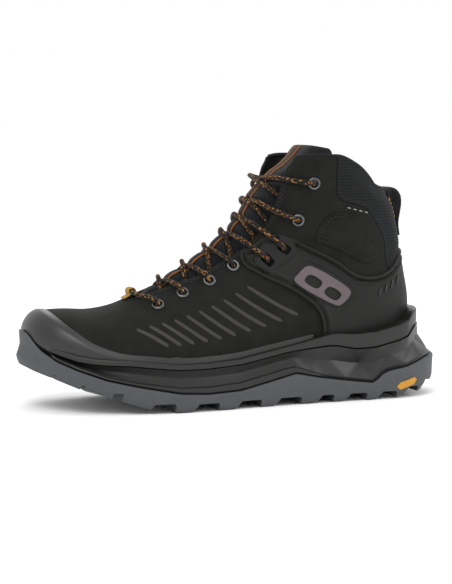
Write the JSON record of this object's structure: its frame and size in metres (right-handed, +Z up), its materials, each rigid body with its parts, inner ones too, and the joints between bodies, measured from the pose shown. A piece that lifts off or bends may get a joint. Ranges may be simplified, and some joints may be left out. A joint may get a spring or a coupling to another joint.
{
  "type": "hiking boot",
  "caption": "Mid-height lace-up hiking boot with lugged rubber outsole, foam midsole, leather upper, heel pull loop and flexing tongue.",
  "frame": {"origin": "on the ground under the middle of the boot (bottom centre of its box)", "axes": "+Z up, -X towards the toe, +X towards the heel, -Y towards the outer (lateral) side"},
  "size_m": [0.3064, 0.1068, 0.1773],
  "materials": {
    "rubber": "moulded, matt",
    "midsole_foam": "moulded foam skin, satin",
    "nubuck": "nubuck, matt",
    "rand_film": "moulded, semi-gloss",
    "textile": "knitted, ribbed",
    "tongue_textile": "woven, padded",
    "lining": "knitted lining",
    "board": "fibre board",
    "padding": "open-cell foam",
    "panel_mesh": "woven mesh, satin",
    "steel": "gunmetal enamel",
    "lace_cord": "round braid",
    "tape": "woven tape",
    "yellow": "moulded inlay",
    "gold": "woven, twisted",
    "tip": "shrunk film"
  },
  "bodies": {
    "boot": {"aglet_lateral": "tip", "aglet_medial": "tip", "ankle_patch_lateral": "nubuck", "ankle_patch_medial": "nubuck", "bottom_filler": "board", "collar_padding": "padding", "collar_textile": "textile", "eyelet_lateral_1": "steel", "eyelet_lateral_2": "steel", "eyelet_lateral_3": "steel", "eyelet_lateral_4": "steel", "eyelet_lateral_5": "steel", "eyelet_lateral_6": "steel", "eyelet_medial_1": "steel", "eyelet_medial_2": "steel", "eyelet_medial_3": "steel", "eyelet_medial_4": "steel", "eyelet_medial_5": "steel", "eyelet_medial_6": "steel", "footbed": "lining", "heel_badge": "yellow", "heel_cage_lateral": "nubuck", "heel_cage_medial": "nubuck", "heel_counter": "board", "heel_trim": "gold", "lace": "lace_cord", "lace_tail_lateral": "lace_cord", "lace_tail_medial": "lace_cord", "lasting_board": "board", "lining": "lining", "midsole": "midsole_foam", "outsole": "rubber", "pull_loop": "textile", "quarter_lateral": "nubuck", "quarter_medial": "nubuck", "shank": "steel", "side_panel_lateral": "panel_mesh", "side_panel_medial": "panel_mesh", "throat_tag": "gold", "toe_cap_rand": "rand_film", "toe_puff": "board", "tongue_root": "tongue_textile", "tongue_tape_root": "tape", "vamp": "nubuck"},
    "tongue": {"tongue_upper": "tongue_textile", "tongue_tape_upper": "tape"}
  },
  "joints": [
    {"name": "tongue_flex", "type": "hinge", "parent": "boot", "child": "tongue", "pos_m": [0.01538, 0.0025, 0.11898], "axis": [0, 1, 0], "range_deg": [0, 14]}
  ]
}
